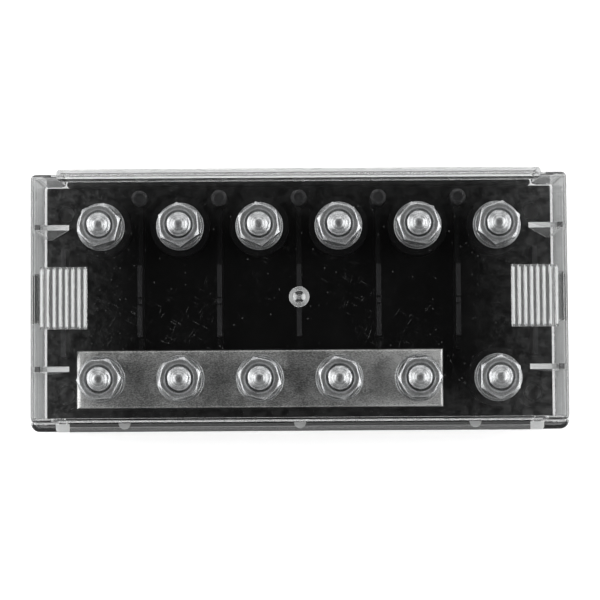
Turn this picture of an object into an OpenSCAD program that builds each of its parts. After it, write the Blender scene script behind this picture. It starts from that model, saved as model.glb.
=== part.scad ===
// Six-way stud fuse holder: a black moulded base with two rows of studs, a busbar that
// links five front studs, and a clear lift-off cover. Millimetres, +Z up, X along the
// length, -Y towards the feed side, origin under the middle of the base.

/* [Bays] */
// Distance between neighbouring bays
bay_pitch = 26.5; // [25:0.5:32]
// Distance between the two rows of studs, set by the fuse
row_span = 51; // [48:0.5:58]

/* [Base] */
// Floor thickness
floor_t = 3; // [2.5:0.1:3.8]
// Floor beyond the end studs
end_margin = 19; // [18:0.5:26]
// Floor beyond each stud row
side_margin = 14; // [13.5:0.5:18]
// Corner radius of the floor
floor_r = 0.5; // [0.5:0.5:4]
// Height of the seats that the lugs and fuse blades lie on
seat_h = 10.4; // [9.8:0.1:14]
// Diameter of a round stud seat
seat_d = 20; // [18:0.5:22]
// Height of the low side walls
wall_h = 9.5; // [7:0.5:10]
// Thickness of the low side walls
wall_t = 1.8; // [1.4:0.1:2.4]
// How far the side walls stand out past the floor's edge
wall_out = 1.8; // [1.2:0.1:2.2]
// How far the side walls run past the end studs
wall_over = 11.5; // [9:0.25:12]
// Height of the screw bosses above the table
boss_h = 5; // [4:0.5:8]
// Diameter of the screw bosses
boss_d = 10; // [9:0.5:12]
// Diameter of the four fixing holes
fix_d = 5.3; // [4.3:0.1:5.5]
// Fixing holes beyond the end studs
fix_over = 12.25; // [11.5:0.25:13]
// Fixing holes from the middle line
fix_y = 30.5; // [29:0.5:32]
// Skin left at the bottom of a fixing hole, which the screw breaks through
fix_skin = 0.6; // [0.4:0.1:1]
// Lead-in at the mouth of a fixing hole
fix_lead = 0.8; // [0.5:0.1:1.2]

/* [Dividers] */
// Thickness of the dividers and end fins
div_t = 1.6; // [1.2:0.1:2]
// Height of the tall middle part of a divider
div_h = 14.5; // [12:0.5:20]
// Height of the low part of a divider
div_low_h = 9; // [6:0.5:10]
// Reach of the tall part towards the load side
div_back = 12.4; // [8:0.2:13]
// Reach of the tall part towards the feed side
div_front = 11.5; // [8:0.1:13]
// Width and depth of the two nicks in a divider's top
nick = 0.6; // [0.5:0.1:1.2]
// First nick behind the middle line
nick_y = 1.5; // [0:0.1:3]
// Distance between the two nicks
nick_gap = 2.3; // [2:0.1:4]
// Length of the end fins
fin_l = 36; // [24:1:38]
// Diameter of the cable posts
post_d = 5.3; // [4:0.1:5.6]
// Height of the cable posts
post_h = 16.5; // [12:0.5:20]
// Cable posts from the floor's edge
post_in = 4.9; // [4.8:0.1:6]
// Depth of the dimple in a post's top
post_dimple = 0.5; // [0.2:0.1:1]

/* [Busbar] */
// Width of the busbar
bar_w = 19.3; // [17:0.1:20]
// Thickness of the busbar
bar_t = 3; // [2:0.5:3.5]
// Busbar beyond its end studs
bar_over = 8.2; // [8:0.2:10]
// Diameter of the holes in the busbar
bar_hole_d = 8.4; // [8.2:0.1:9]

/* [Fasteners] */
// Diameter of the studs
stud_d = 8; // [7.8:0.1:8]
// How far a stud stands above its nut
stud_out = 2.5; // [1.5:0.5:6]
// Radius of a stud's domed end
stud_dome = 5.2; // [4.4:0.2:8]
// Across flats of nuts and stud heads
nut_af = 13; // [12:0.5:13.5]
// Height of a nut
nut_h = 6.5; // [5:0.1:8]
// Height of a stud's flat head
head_h = 4; // [3:0.1:4]
// How deep the heads lie in the underside
head_in = 1; // [0.6:0.1:1.4]
// Outer diameter of a plain washer
washer_d = 16; // [15:0.5:17]
// Thickness of a plain washer
washer_t = 1.6; // [1:0.1:2]
// Outer diameter of a spring washer
spring_d = 14.8; // [13:0.2:14.8]
// Thickness of a spring washer
spring_t = 2; // [1.6:0.1:2.4]
// Width of the slit in a spring washer
slit_w = 1; // [0.6:0.1:1.6]

/* [Cover] */
// Overall height of the cover's plate
cover_h = 42; // [36:0.5:60]
// Wall thickness of the cover
cover_t = 1.3; // [1.2:0.1:2]
// Height of the stepped skirt
skirt_h = 10; // [9:0.5:12]
// Height of the bulged long sides
bulge_h = 29; // [28:0.5:36]
// Radius of the skirt's and bulges' corners
skirt_r = 3; // [2.6:0.1:5]
// Step from the skirt to the upper wall at the ends
step_end = 3.3; // [2.6:0.1:3.8]
// Step from the skirt to the upper wall on the long sides
step_side = 2.5; // [2.4:0.1:3]
// Lean of the upper walls over their height
draft = 0.6; // [0.2:0.1:1]
// Radius of the plate's corners
plate_r = 1.7; // [1.5:0.1:3]
// Rounding of the plate's top edge
plate_edge = 0.8; // [0.4:0.1:1.2]

/* [Grips and legs] */
// Ribs in each grip
rib_count = 8; // [5:1:9]
// Distance between ribs
rib_pitch = 1.98; // [1.6:0.02:2.2]
// Width of a rib
rib_w = 1.3; // [0.8:0.1:1.4]
// Length of the ribs
rib_l = 20; // [12:1:28]
// First rib from the plate's edge
rib_in = 3; // [2:0.5:5]
// Thickness of the gusset legs
leg_t = 1.7; // [1.4:0.1:2.2]
// Gusset legs from the middle line
leg_y = 22.7; // [21:0.1:25]
// How far a leg reaches inwards under the plate
leg_reach = 12.5; // [8:0.5:13]
// Width of a leg's foot
leg_foot = 1.4; // [1:0.1:2]
// Width of the latch tongues
tongue_w = 14; // [10:1:18]
// Thickness of the latch tongues
tongue_t = 1.5; // [1.2:0.1:1.6]
// How far a latch tongue laps its end fin
tongue_lap = 3; // [2:0.5:5]
// Diameter of the gate mark in the plate
gate_d = 6.8; // [4:0.2:10]
// Diameter of the ejector marks on the bulges
ejector_d = 3; // [2:0.1:3]

/* [Break-outs] */
// Width of a scored cable break-out
score_w = 18; // [12:0.5:20]
// Top of the break-outs
score_h = 27; // [22:0.5:29]
// Width of the score line
score_line = 0.5; // [0.4:0.1:1]
// Depth of the score line
score_depth = 0.3; // [0.2:0.1:1]

/* [Clearances] */
// Between the base's side walls and the cover
wall_gap = 0.3; // [0.2:0.05:0.5]
// Between the floor's ends and the skirt
end_gap = 3.35; // [2.8:0.05:4]
// Between the table and the cover's rim
rim_gap = 0.2; // [0.1:0.1:0.8]
// Between a leg's foot and the floor
foot_gap = 0.1; // [0.05:0.05:0.2]
// Between a tongue and its end fin
tongue_gap = 0.3; // [0.2:0.05:0.5]
// Between a stud and the holes round it, on the radius
stud_gap = 0.1; // [0.05:0.05:0.2]
// Between a stud and its nut, on the radius
thread_gap = 0.05; // [0.03:0.01:0.1]
// Between a nut and its spring washer
nut_gap = 0.05; // [0.02:0.01:0.1]

/* [Hidden] */

bays = 6;
bar_bays = 5;
// Turn of each nut about its stud, as tightened, in degrees
feed_turn = [3, 17, 46, 44, 2, 29];
load_turn = [16, 35, 38, 47, 49, 20];
$fn = 48;
// Overlap that makes cuts run clear of a face
eps = 0.5;

function bay_x(i) = (i - (bays - 1) / 2) * bay_pitch;
function wall_x(i) = bay_x(i) + bay_pitch / 2;
end_x = bay_x(bays - 1);
load_y = row_span / 2;
feed_y = -row_span / 2;

floor_l = 2 * (end_x + end_margin);
floor_w = row_span + 2 * side_margin;
wall_x_end = end_x + wall_over;
wall_y = floor_w / 2 + wall_out;
// The side walls' corners follow the cover's inner corners
wall_r = skirt_r - cover_t - wall_gap;
fix_x = end_x + fix_over;
fin_x = fix_x;
post_y = floor_w / 2 - post_in;

bar_z = seat_h - bar_t;
bar_x0 = bay_x(0) - bar_over;
bar_x1 = bay_x(bar_bays - 1) + bar_over;
// Rim of the moulded ledge that the busbar lies on
ledge_rim = 0.5;

hole_d = stud_d + 2 * stud_gap;
washer_hole_d = stud_d + 4 * stud_gap;
washer_z = seat_h;
spring_z = washer_z + washer_t;
nut_z = spring_z + spring_t + nut_gap;
stud_top = nut_z + nut_h + stud_out;
nut_chamfer = 30;
post_chamfer = 0.9;
dome_z = stud_top - stud_dome;
head_gap = 0.15;

bulge_x = wall_x_end + wall_gap + cover_t;
skirt_x = floor_l / 2 + end_gap + cover_t;
skirt_y = wall_y + wall_gap + cover_t;
foot_x = skirt_x - step_end;
foot_y = skirt_y - step_side;
plate_x = foot_x - draft;
plate_y = foot_y - draft;
roof_z = cover_h - cover_t;
// A leg's foot ends this far inside the floor's end
leg_edge = 0.25;
tongue_x = fin_x + div_t / 2 + tongue_gap;
tongue_z = div_h - tongue_lap;
rib_r = rib_w / 2;
rib_x0 = plate_x - rib_in - rib_r;
gate_dish_r = 0.3 * gate_d;
gate_lip = 0.35;
ejector_depth = 0.2;

// Rounded rectangle, centred, with true arcs at the corners
module rounded_rect(l, w, r) {
    square([l - 2 * r, w], center = true);
    square([l, w - 2 * r], center = true);
    for (sx = [-1, 1], sy = [-1, 1])
        translate([sx * (l / 2 - r), sy * (w / 2 - r)]) circle(r);
}

module slab(l, w, r, z0, z1) {
    translate([0, 0, z0]) linear_extrude(z1 - z0) rounded_rect(l, w, r);
}

// Block centred on x and y, standing from z0 to z1
module block(l, w, z0, z1) {
    translate([-l / 2, -w / 2, z0]) cube([l, w, z1 - z0]);
}

module hex(af, h) {
    cylinder(d = af / cos(30), h = h, $fn = 6);
}

// Base

module divider() {
    low_front = -(feed_y + bar_w / 2);
    difference() {
        union() {
            translate([-div_t / 2, -low_front, 0]) cube([div_t, low_front + post_y, div_low_h]);
            translate([-div_t / 2, -div_front, 0]) cube([div_t, div_front + div_back, div_h]);
        }
        for (y = [nick_y, nick_y - nick_gap])
            translate([0, y, div_h]) block(div_t + 2 * eps, nick, -nick, eps);
    }
}

module cable_post() {
    difference() {
        union() {
            cylinder(d = post_d, h = post_h - post_chamfer);
            translate([0, 0, post_h - post_chamfer])
                cylinder(d1 = post_d, d2 = post_d - 2 * post_chamfer, h = post_chamfer);
        }
        translate([0, 0, post_h - post_dimple]) cylinder(d = post_d / 2, h = post_dimple + eps);
    }
}

module side_wall() {
    difference() {
        slab(2 * wall_x_end, 2 * wall_y, wall_r, 0, wall_h);
        block(2 * wall_x_end - 2 * wall_t, 2 * (wall_y - wall_t), floor_t, wall_h + eps);
        for (s = [-1, 1])
            translate([s * wall_x_end, 0, 0])
                block(2 * wall_t + eps, 2 * (wall_y - wall_t), floor_t, wall_h + eps);
    }
}

module base() {
    color("#1d1d1f") difference() {
        union() {
            slab(floor_l, floor_w, floor_r, 0, floor_t);
            side_wall();
            for (i = [0:bays - 1])
                translate([bay_x(i), load_y, 0]) cylinder(d = seat_d, h = seat_h);
            for (i = [bar_bays:bays - 1])
                translate([bay_x(i), feed_y, 0]) cylinder(d = seat_d, h = seat_h);
            translate([bar_x0 - ledge_rim, feed_y - bar_w / 2 - ledge_rim, 0])
                cube([bar_x1 - bar_x0 + 2 * ledge_rim, bar_w + 2 * ledge_rim, bar_z]);
            for (i = [0:bays - 2]) translate([wall_x(i), 0, 0]) divider();
            for (i = [0:bays - 2]) translate([wall_x(i), post_y, 0]) cable_post();
            for (s = [-1, 1]) translate([s * fin_x, 0, 0]) block(div_t, fin_l, 0, div_h);
            for (sx = [-1, 1], sy = [-1, 1])
                translate([sx * fix_x, sy * fix_y, 0]) cylinder(d = boss_d, h = boss_h);
        }
        for (i = [0:bays - 1], y = [feed_y, load_y]) translate([bay_x(i), y, -eps]) {
            cylinder(d = hole_d, h = seat_h + 2 * eps);
            hex(nut_af + 2 * head_gap, head_in + head_h + eps);
        }
        for (sx = [-1, 1], sy = [-1, 1]) translate([sx * fix_x, sy * fix_y, 0]) {
            translate([0, 0, fix_skin]) cylinder(d = fix_d, h = boss_h);
            translate([0, 0, boss_h - fix_lead])
                cylinder(d1 = fix_d, d2 = fix_d + 2 * (fix_lead + eps), h = fix_lead + eps);
        }
    }
}

// Cover

// Leaning upper body between two heights, pulled in by inset on all sides
module upper_body(inset, z1, edge) {
    lean = draft * (cover_h - z1) / (cover_h - skirt_h);
    thin = 0.01;
    hull() {
        slab(2 * (foot_x - inset), 2 * (foot_y - inset), plate_r, skirt_h - cover_t, skirt_h);
        slab(2 * (plate_x + lean - inset), 2 * (plate_y + lean - inset), plate_r,
             z1 - edge - thin, z1 - edge);
        slab(2 * (plate_x + lean - inset - 0.3 * edge), 2 * (plate_y + lean - inset - 0.3 * edge),
             plate_r - 0.3 * edge, z1 - 0.3 * edge - thin, z1 - 0.3 * edge);
        slab(2 * (plate_x + lean - inset - edge), 2 * (plate_y + lean - inset - edge),
             plate_r - edge, z1 - thin, z1);
    }
}

// U-shaped line of a break-out on a long side, seen from outside
module score_outline(grow) {
    r = score_w / 2 + grow;
    translate([0, score_h - score_w / 2]) circle(r);
    translate([-r, skirt_h]) square([2 * r, score_h - score_w / 2 - skirt_h]);
}

module score_lines() {
    for (s = [0, 180], i = [0:bays - 1])
        rotate([0, 0, s]) translate([bay_x(i), score_depth - skirt_y, 0]) rotate([90, 0, 0])
            linear_extrude(score_depth + eps) difference() {
                score_outline(score_line / 2);
                score_outline(-score_line / 2);
            }
}

module gusset_leg() {
    foot_out = floor_l / 2 - leg_edge;
    wall_mid = foot_x - cover_t / 2;
    translate([0, leg_t / 2, 0]) rotate([90, 0, 0]) linear_extrude(leg_t) polygon([
        [plate_x - leg_reach, roof_z + cover_t / 2],
        [foot_out - leg_foot, floor_t + foot_gap],
        [foot_out, floor_t + foot_gap],
        [wall_mid, skirt_h],
        [plate_x - cover_t / 2, roof_z + cover_t / 2]
    ]);
}

module grip() {
    for (k = [0:rib_count - 1])
        translate([rib_x0 - k * rib_pitch, rib_l / 2, cover_h]) rotate([90, 0, 0])
            cylinder(r = rib_r, h = rib_l, $fn = 24);
}

module cover() {
    color([0.86, 0.9, 0.92, 0.35]) {
        difference() {
            union() {
                slab(2 * skirt_x, 2 * skirt_y, skirt_r, rim_gap, skirt_h);
                slab(2 * bulge_x, 2 * skirt_y, skirt_r, rim_gap, bulge_h);
                upper_body(0, cover_h, plate_edge);
                for (a = [0, 180]) rotate([0, 0, a]) grip();
                cylinder(d = gate_d, h = cover_h + gate_lip);
            }
            slab(2 * (skirt_x - cover_t), 2 * (skirt_y - cover_t), skirt_r - cover_t,
                 rim_gap - eps, skirt_h - cover_t);
            slab(2 * (bulge_x - cover_t), 2 * (skirt_y - cover_t), skirt_r - cover_t,
                 rim_gap - eps, bulge_h - cover_t);
            upper_body(cover_t, roof_z, 0);
            score_lines();
            translate([0, 0, cover_h + gate_lip]) scale([1, 1, 0.4]) sphere(gate_dish_r);
            for (s = [-1, 1], x = [wall_x(0), wall_x(2), wall_x(4)])
                translate([x, s * (skirt_y - step_side / 2), bulge_h - ejector_depth])
                    cylinder(d = ejector_d, h = ejector_depth + eps);
        }
        for (a = [0, 180], s = [-1, 1])
            rotate([0, 0, a]) translate([0, s * leg_y, 0]) gusset_leg();
        for (a = [0, 180]) rotate([0, 0, a])
            translate([tongue_x, -tongue_w / 2, tongue_z])
                cube([tongue_t, tongue_w, roof_z + cover_t / 2 - tongue_z]);
    }
}

// Busbar and fasteners

module busbar() {
    color("#c6c7c4") difference() {
        translate([(bar_x0 + bar_x1) / 2, feed_y, 0])
            slab(bar_x1 - bar_x0, bar_w, ledge_rim, bar_z, seat_h);
        for (i = [0:bar_bays - 1])
            translate([bay_x(i), feed_y, bar_z - eps]) cylinder(d = bar_hole_d, h = bar_t + 2 * eps);
    }
}

module stud() {
    translate([0, 0, head_in]) hex(nut_af, head_h);
    translate([0, 0, head_in]) cylinder(d = stud_d, h = dome_z - head_in);
    intersection() {
        translate([0, 0, dome_z - eps]) cylinder(d = stud_d, h = stud_dome + 2 * eps);
        translate([0, 0, dome_z]) sphere(stud_dome);
    }
}

module washer() {
    translate([0, 0, washer_z]) difference() {
        cylinder(d = washer_d, h = washer_t);
        translate([0, 0, -eps]) cylinder(d = washer_hole_d, h = washer_t + 2 * eps);
    }
}

module spring_washer() {
    translate([0, 0, spring_z]) difference() {
        cylinder(d = spring_d, h = spring_t);
        translate([0, 0, -eps]) cylinder(d = hole_d, h = spring_t + 2 * eps);
        translate([0, spring_d / 2, spring_t / 2]) rotate([0, 30, 0])
            cube([slit_w, spring_d, 4 * spring_t], center = true);
    }
}

module nut() {
    corner_d = nut_af / cos(30);
    // The chamfer cone leaves the flats alone and cuts the corners
    face_d = 1.04 * nut_af;
    cone_d = face_d + nut_h / tan(nut_chamfer);
    translate([0, 0, nut_z]) difference() {
        intersection() {
            hex(nut_af, nut_h);
            union() {
                cylinder(d = corner_d + eps, h = nut_h / 2);
                translate([0, 0, nut_h / 2]) cylinder(d1 = cone_d, d2 = face_d, h = nut_h / 2);
            }
        }
        translate([0, 0, -eps]) cylinder(d = stud_d + 2 * thread_gap, h = nut_h + 2 * eps);
    }
}

module along_row(y) {
    for (i = [0:bays - 1]) translate([bay_x(i), y, 0]) children();
}

module feed_studs() { color("#b4b6b8") along_row(feed_y) stud(); }
module load_studs() { color("#b4b6b8") along_row(load_y) stud(); }
module feed_washers() { color("#a9abad") along_row(feed_y) washer(); }
module load_washers() { color("#a9abad") along_row(load_y) washer(); }
module feed_spring_washers() { color("#9fa1a3") along_row(feed_y) spring_washer(); }
module load_spring_washers() { color("#9fa1a3") along_row(load_y) spring_washer(); }

module feed_nut(i) {
    color("#bcbec0") translate([bay_x(i), feed_y, 0]) rotate([0, 0, feed_turn[i]]) nut();
}

module load_nut(i) {
    color("#bcbec0") translate([bay_x(i), load_y, 0]) rotate([0, 0, load_turn[i]]) nut();
}

base();
cover();
busbar();
feed_studs();
load_studs();
feed_washers();
load_washers();
feed_spring_washers();
load_spring_washers();
for (i = [0:bays - 1]) {
    feed_nut(i);
    load_nut(i);
}
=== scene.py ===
# %% [markdown]
# # Six-way stud fuse holder with a clear cover
# This lesson dresses the imported parts of a fuse holder for the camera. The solids come from the part's
# source, in metres and in one shared frame, so nothing here has to be fitted by eye. The frame is loaded
# first. The dressed part may not be larger than the solids. Sizes are written in millimetres times MM.

# %% Load the imported parts
import math

import bmesh
import bpy
from mathutils import Euler, Matrix, Vector


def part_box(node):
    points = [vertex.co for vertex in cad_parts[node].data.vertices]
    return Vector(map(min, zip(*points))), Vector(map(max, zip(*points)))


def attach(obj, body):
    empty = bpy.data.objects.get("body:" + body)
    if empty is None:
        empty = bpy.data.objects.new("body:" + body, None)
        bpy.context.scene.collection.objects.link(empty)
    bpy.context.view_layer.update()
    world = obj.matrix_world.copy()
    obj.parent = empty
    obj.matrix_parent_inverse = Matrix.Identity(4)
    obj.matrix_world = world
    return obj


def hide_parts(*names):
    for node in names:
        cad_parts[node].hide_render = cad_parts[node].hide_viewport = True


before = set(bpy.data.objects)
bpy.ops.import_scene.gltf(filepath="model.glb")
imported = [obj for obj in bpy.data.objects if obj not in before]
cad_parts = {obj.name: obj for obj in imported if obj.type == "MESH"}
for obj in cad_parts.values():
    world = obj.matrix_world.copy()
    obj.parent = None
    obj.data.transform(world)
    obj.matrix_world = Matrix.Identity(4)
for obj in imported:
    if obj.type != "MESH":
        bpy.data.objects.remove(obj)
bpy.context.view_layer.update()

MM = 0.001

# %% [markdown]
# ## The camera
# The holder is seen from almost straight above with a long lens. The place, turn and lens were solved
# from the washers, the stud tops and the cover's corners, so that each lands on its own spot in a square
# frame. A long lens far away would look almost the same, but the slight lean of the studs towards the
# edges would be lost, so the solved distance is kept.

# %% Camera
CAMERA_PLACE = (0.0, -0.0386, 0.712)
CAMERA_TURN = (0.056, 0.0, -0.0065)
CAMERA_LENS = 125.92
SENSOR_WIDTH = 36.0
NEAREST_SEEN = 0.01

lens = bpy.data.cameras.new("overhead_lens")
lens.lens = CAMERA_LENS
lens.sensor_width = SENSOR_WIDTH
lens.clip_start = NEAREST_SEEN
camera = bpy.data.objects.new("overhead_camera", lens)
camera.location = CAMERA_PLACE
camera.rotation_euler = Euler(CAMERA_TURN)
bpy.context.scene.collection.objects.link(camera)
bpy.context.scene.camera = camera
bpy.context.scene.view_settings.view_transform = "Standard"
print("camera height:", CAMERA_PLACE[2])

# %% [markdown]
# ## A bench for node trees
# Materials, the table, the sky and the Geometry Nodes are all node trees. Two small classes keep them
# readable. A Wire wraps one socket, and sums written with it add Math nodes. A Bench adds any other node
# from its type, its settings and what goes into its sockets.

# %% Wires


class Wire:
    """One output socket. Sums on wires add Math nodes to the tree."""

    def __init__(self, bench, socket):
        self.bench = bench
        self.socket = socket

    def work(self, operation, first, second=0.0):
        node = self.bench.add("ShaderNodeMath", {"operation": operation}, {0: first, 1: second})
        return node["Value"]

    def __add__(self, other):
        return self.work("ADD", self, other)

    def __radd__(self, other):
        return self.work("ADD", other, self)

    def __sub__(self, other):
        return self.work("SUBTRACT", self, other)

    def __rsub__(self, other):
        return self.work("SUBTRACT", other, self)

    def __mul__(self, other):
        return self.work("MULTIPLY", self, other)

    def __rmul__(self, other):
        return self.work("MULTIPLY", other, self)

    def __truediv__(self, other):
        return self.work("DIVIDE", self, other)

    def __rtruediv__(self, other):
        return self.work("DIVIDE", other, self)

    def __abs__(self):
        return self.work("ABSOLUTE", self)

    def __gt__(self, other):
        return self.work("GREATER_THAN", self, other)

    def __lt__(self, other):
        return self.work("LESS_THAN", self, other)

    def least(self, other):
        return self.work("MINIMUM", self, other)

    def most(self, other):
        return self.work("MAXIMUM", self, other)

    def root(self):
        return self.work("SQRT", self)

    def off_whole(self):
        """How far the value is from the nearest whole number."""
        return self - self.work("ROUND", self)

    def within(self, low, high):
        """1 between the two values and 0 outside them."""
        return (self > low) * (self < high)

    def near(self, value, slack):
        """1 where no more than the slack lies between this and the value."""
        return abs(self - value) < slack

    def ramp(self, low, high):
        """0 below low, 1 above high and a smooth step between; low may be the larger."""
        node = self.bench.add(
            "ShaderNodeMapRange",
            {"interpolation_type": "SMOOTHSTEP"},
            {"Value": self, "From Min": low, "From Max": high},
        )
        return node["Result"]


print("wires ready")

# %% Benches


class Made:
    """A node that was added. Its outputs are read by name or number."""

    def __init__(self, bench, node):
        self.bench = bench
        self.node = node

    def __getitem__(self, key):
        return Wire(self.bench, self.node.outputs[key])


class Bench:
    """A node tree with one way to add a node."""

    def __init__(self, tree):
        self.tree = tree

    def add(self, kind, settings=None, sockets=None):
        node = self.tree.nodes.new(kind)
        for name, value in (settings or {}).items():
            setattr(node, name, value)
        for key, value in (sockets or {}).items():
            if isinstance(value, Wire):
                self.tree.links.new(value.socket, node.inputs[key])
            else:
                node.inputs[key].default_value = value
        return Made(self, node)

    def here(self):
        """The place on the piece, which stays with it when it moves."""
        return self.add("ShaderNodeTexCoord")["Object"]

    def split(self, vector):
        return self.add("ShaderNodeSeparateXYZ", None, {0: vector})

    def noise(self, where, scale, detail=2.0, roughness=0.5):
        sockets = {"Vector": where, "Scale": scale, "Detail": detail, "Roughness": roughness}
        return self.add("ShaderNodeTexNoise", None, sockets)["Fac"]

    def flecks(self, where, scale, edge, core, rare):
        """Round flecks in cells; only the cells whose own random number is above rare have one."""
        cells = self.add("ShaderNodeTexVoronoi", {"feature": "F1"}, {"Vector": where, "Scale": scale})
        number = self.add("ShaderNodeSeparateColor", None, {0: cells["Color"]})["Red"]
        return cells["Distance"].ramp(edge, core) * (number > rare)

    def stretched(self, where, stretch):
        return self.add("ShaderNodeMapping", None, {"Vector": where, "Scale": stretch})["Vector"]

    def turned(self, where, angle):
        sockets = {"Vector": where, "Rotation": (0.0, 0.0, angle)}
        return self.add("ShaderNodeMapping", None, sockets)["Vector"]

    def colour_mix(self, factor, low, high):
        return self.add("ShaderNodeMix", {"data_type": "RGBA"}, {0: factor, 6: low, 7: high})[2]

    def bump(self, height, strength, distance):
        sockets = {"Height": height, "Strength": strength, "Distance": distance}
        return self.add("ShaderNodeBump", None, sockets)["Normal"]

    def principled(self, sockets):
        return self.add("ShaderNodeBsdfPrincipled", None, sockets)["BSDF"]

    def shader_mix(self, factor, first, second):
        return self.add("ShaderNodeMixShader", None, {0: factor, 1: first, 2: second})["Shader"]


def grey(level):
    return (level, level, level, 1.0)


def new_finish(name):
    """An empty material and the bench for its nodes."""
    material = bpy.data.materials.new(name)
    material.use_nodes = True
    material.node_tree.nodes.clear()
    return material, Bench(material.node_tree)


def show(bench, surface):
    bench.add("ShaderNodeOutputMaterial", None, {"Surface": surface})


print("benches ready")

# %% [markdown]
# ## Table
# The holder lies on a white table. It is a plain matt white that takes the shadow, and it glows a little
# for rays from the camera, from gloss and through glass, so that it reaches white. Stronger lamps would
# whiten it too, but they would burn out the metal.

# %% Table
TABLE_HALF = 4.0
TABLE_WHITE = 0.92
TABLE_GLOW = 0.36

table_mesh = bpy.data.meshes.new("table")
table_corners = [(-TABLE_HALF, -TABLE_HALF), (TABLE_HALF, -TABLE_HALF)]
table_corners += [(TABLE_HALF, TABLE_HALF), (-TABLE_HALF, TABLE_HALF)]
table_mesh.from_pydata([(x, y, 0.0) for x, y in table_corners], [], [(0, 1, 2, 3)])
table = bpy.data.objects.new("table", table_mesh)
bpy.context.scene.collection.objects.link(table)


def seen_rays(bench):
    """1 for rays from the camera, from gloss and through glass."""
    path = bench.add("ShaderNodeLightPath")
    return path["Is Camera Ray"].most(path["Is Glossy Ray"]).most(path["Is Transmission Ray"])


table_white, bench = new_finish("table_white")
matt = bench.add("ShaderNodeBsdfDiffuse", None, {"Color": grey(TABLE_WHITE)})["BSDF"]
glow = bench.add("ShaderNodeEmission", None, {"Strength": seen_rays(bench) * TABLE_GLOW})["Emission"]
show(bench, bench.add("ShaderNodeAddShader", None, {0: matt, 1: glow})["Shader"])
table_mesh.materials.append(table_white)
print("table:", 2 * TABLE_HALF, "m wide")

# %% [markdown]
# ## Sky
# The room is pale near the horizon and dark overhead, which is why flat metal looks grey and leaning edges
# look bright. A picture of a room could light the scene as well, but a strength that falls with height
# needs no file. The camera itself sees white.

# %% Sky
SKY_HORIZON = 0.75
SKY_TOP = 0.02
DARK_FROM = 0.75

sky = bpy.data.worlds.new("studio")
bpy.context.scene.world = sky
sky.use_nodes = True
sky.node_tree.nodes.clear()
bench = Bench(sky.node_tree)
height = bench.split(bench.add("ShaderNodeTexCoord")["Generated"])["Z"]
dim = SKY_TOP + height.ramp(DARK_FROM, 0.0) * (SKY_HORIZON - SKY_TOP)
camera_ray = bench.add("ShaderNodeLightPath")["Is Camera Ray"]
strength = dim + camera_ray * (1.0 - dim)
background = bench.add("ShaderNodeBackground", None, {"Color": grey(1.0), "Strength": strength})
bench.add("ShaderNodeOutputWorld", None, {"Surface": background["Background"]})
print("sky from", SKY_HORIZON, "at the horizon to", SKY_TOP, "overhead")

# %% [markdown]
# ## Lamps
# Two soft boxes stand low at the left and right, and the domed stud ends show them as two bright lobes. A
# weaker lamp behind and a faint one in front fill in the walls. Area lamps are used, because their size
# alone makes the shadows as soft as those of real boxes.

# %% Lamps
# name, place, width and height, watts
LAMPS = [
    ("left_box", (-0.95, 0.05, 0.6), (1.4, 0.8), 14.0),
    ("right_box", (0.95, 0.05, 0.6), (1.4, 0.8), 14.0),
    ("back_fill", (0.0, 1.3, 0.85), (1.2, 0.6), 7.5),
    ("front_fill", (0.0, -1.35, 0.85), (1.2, 0.6), 2.0),
]

for name, place, size, watts in LAMPS:
    lamp = bpy.data.lights.new(name, "AREA")
    lamp.shape = "RECTANGLE"
    lamp.size, lamp.size_y = size
    lamp.energy = watts
    holder = bpy.data.objects.new(name, lamp)
    holder.location = place
    holder.rotation_euler = (-Vector(place)).to_track_quat("-Z", "Y").to_euler()
    bpy.context.scene.collection.objects.link(holder)
print("lamps:", [lamp[0] for lamp in LAMPS])

# %% [markdown]
# ## Black moulded plastic
# The base is a black, slightly glossy moulding with a fine grain from the mould and grey dust that settles
# most near the ends. Its walls turn a little greyer towards their tops, set by height alone, and the thin
# skins that close its four fixing holes are paler. One colour would look like paint, so the gloss drifts, the
# grain is a bump, and specks of dust come from a cell pattern of which only a few cells are used.

# %% Black plastic finish
FIX_X = 78.5 * MM
FIX_Y = 30.5 * MM
FIX_R = 3.5 * MM
SKIN_LOW, SKIN_HIGH = 0.3 * MM, 1.0 * MM
GREYER_LOW, GREYER_HIGH = 13.8 * MM, 14.5 * MM
JET = (0.003, 0.003, 0.0032, 1.0)
GREYER_BLACK = (0.022, 0.022, 0.023, 1.0)
DUST_GREY = grey(0.075)
SKIN_GREY = grey(0.22)
DUST_X = (45.0 * MM, 88.0 * MM)
DUST_Y = (24.0 * MM, 40.0 * MM)
SPECK_SCALE, SPECK_EDGE, SPECK_CORE = 750.0, 0.42, 0.12
SPECK_RARE, SPECK_MORE = 0.965, 0.22
FILM_SCALE = 55.0
GLOSS_SCALE = 120.0
GRAIN_SCALE = 2600.0
GRAIN_HEIGHT = 0.1 * MM

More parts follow.
